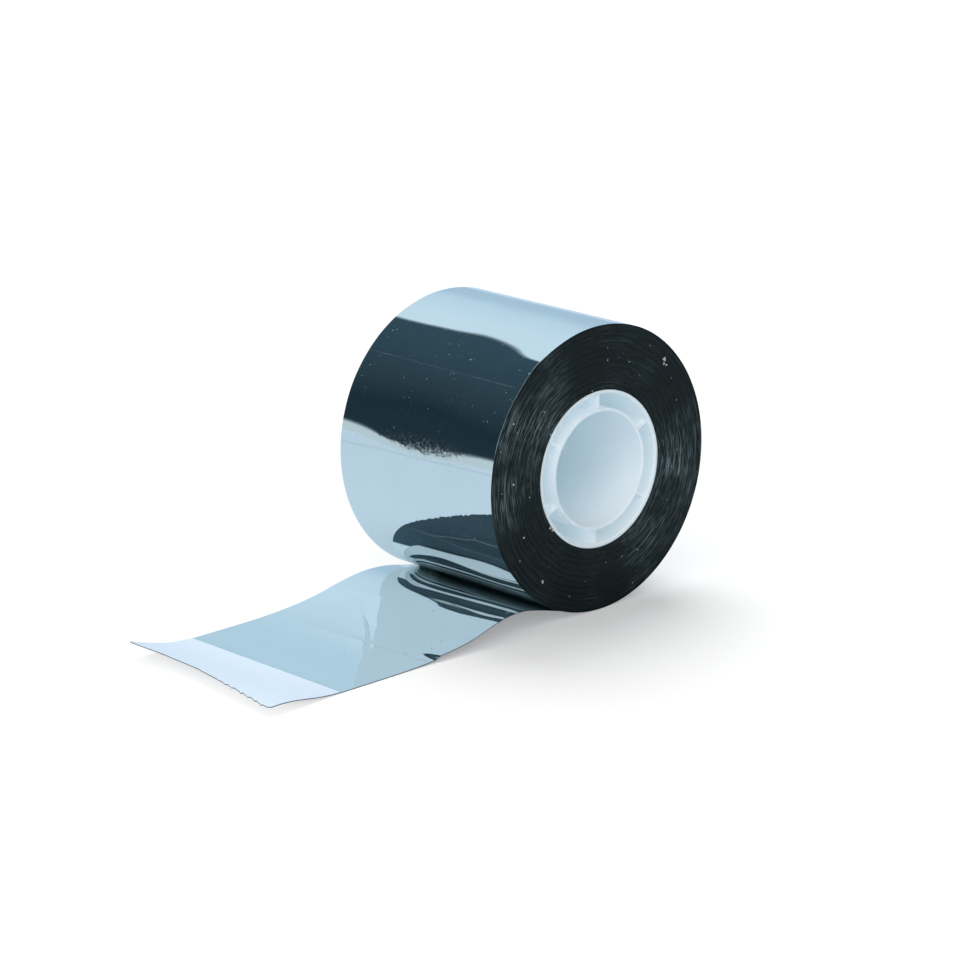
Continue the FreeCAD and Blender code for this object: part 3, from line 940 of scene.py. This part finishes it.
def make_world():
    """Surroundings for the foil, an even light, and white for the camera."""
    world = bpy.data.worlds.new("studio")
    bpy.context.scene.world = world
    world.use_nodes = True
    world.cycles.sampling_method = "NONE"
    n = Nodes(world.node_tree)
    x, _, z = n.apart(n.add("ShaderNodeTexCoord").outputs["Generated"])
    turn = n.math("ARCTAN2", z, x)
    turn = n.plus(n.math("DIVIDE", turn, 2 * math.pi), n.math("LESS_THAN", turn, 0.0))
    seen = n.ramp(turn, [(degrees / 360, colour) for degrees, colour in SURROUNDINGS])
    path = n.add("ShaderNodeLightPath").outputs
    colour = n.mix(path["Is Glossy Ray"], grey(LIGHT_LEVEL), seen)
    colour = n.mix(path["Is Camera Ray"], colour, grey(1.0))
    n.end("ShaderNodeOutputWorld", n.add("ShaderNodeBackground", {"Color": colour}).outputs[0])


def make_floor():
    material, n = new_material("pale_floor")

    def scatter(colour):
        return n.add("ShaderNodeBsdfDiffuse", {"Color": colour}).outputs[0]

    def glow(strength):
        return n.add("ShaderNodeEmission", {"Color": grey(1.0), "Strength": strength}).outputs[0]

    def mixed(share, a, b):
        return n.add("ShaderNodeMixShader", {0: share, 1: a, 2: b}).outputs[0]

    seen = n.add("ShaderNodeAddShader", {0: scatter(grey(FLOOR_GREY)),
                                         1: glow(FLOOR_GLOW)}).outputs[0]
    x = n.apart(n.place())[0]
    fade = n.range(x, FADE_FROM * MM, FADE_TO * MM, 0.0, FADE_SHARE)
    seen = mixed(fade, seen, glow(BRIGHT_GLOW))
    is_camera = n.add("ShaderNodeLightPath").outputs["Is Camera Ray"]
    n.end("ShaderNodeOutputMaterial", mixed(is_camera, scatter(FLOOR_SEEN_BY_FOIL), seen))
    corners = [metres(x * FLOOR_REACH, y * FLOOR_REACH, FLOOR)
               for x, y in ((-1, -1), (1, -1), (1, 1), (-1, 1))]
    floor = new_object("floor", corners, [(0, 1, 2, 3)], [material])


def make_lights():
    for name, towards, spread, strength in LAMPS:
        data = bpy.data.lights.new(name, "SUN")
        data.angle = math.radians(spread)
        data.energy = strength
        lamp = bpy.data.objects.new(name, data)
        lamp.rotation_mode = "QUATERNION"
        lamp.rotation_quaternion = Vector(towards).to_track_quat("Z", "Y")
        lamp.visible_glossy = False
        bpy.context.scene.collection.objects.link(lamp)
    # Foil mirrors foil many times over where the free end goes under the roll.
    bpy.context.scene.cycles.max_bounces = 28
    bpy.context.scene.cycles.glossy_bounces = 26
    bpy.context.scene.cycles.diffuse_bounces = 12


def make_camera():
    turn, tilt, roll = (math.radians(a) for a in (CAMERA_AZIMUTH, CAMERA_ELEVATION, CAMERA_ROLL))
    back = Vector((math.sin(turn) * math.cos(tilt), -math.cos(turn) * math.cos(tilt),
                   math.sin(tilt)))
    level = Vector((math.cos(turn), math.sin(turn), 0))
    above = back.cross(level)
    # level turns clockwise seen from the camera, so that the picture leans as the roll does.
    right = level * math.cos(roll) + above * math.sin(roll)
    up = above * math.cos(roll) - level * math.sin(roll)
    place = right * CAMERA_SLIDE[0] + up * CAMERA_SLIDE[1] + back * CAMERA_DISTANCE
    camera = bpy.data.objects.new("camera", bpy.data.cameras.new("camera"))
    camera.data.lens = CAMERA_LENS
    camera.data.sensor_width = 36
    camera.data.clip_end = 20
    frame_of_camera = Matrix((right, up, back)).transposed().to_4x4()
    frame_of_camera.translation = place * MM
    camera.matrix_world = frame_of_camera
    bpy.context.scene.collection.objects.link(camera)
    bpy.context.scene.camera = camera


def main():
    foil = make_foil("foil_bright", OUTER_SIDE, folded=False)
    inner_foil = make_foil("foil_inner_side", INNER_SIDE, folded=True)
    edges = make_foil_edges()
    plastic = make_core_plastic()
    film = make_tab_film()
    make_roll(foil, edges)
    make_crumbs(make_crumb_lint())
    make_free_end(foil, inner_foil, edges, film)
    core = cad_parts["core"]
    for slot in core.material_slots:
        slot.material = plastic
    make_world()
    make_floor()
    make_lights()
    make_camera()
    bpy.context.scene.view_settings.view_transform = "Standard"


main()
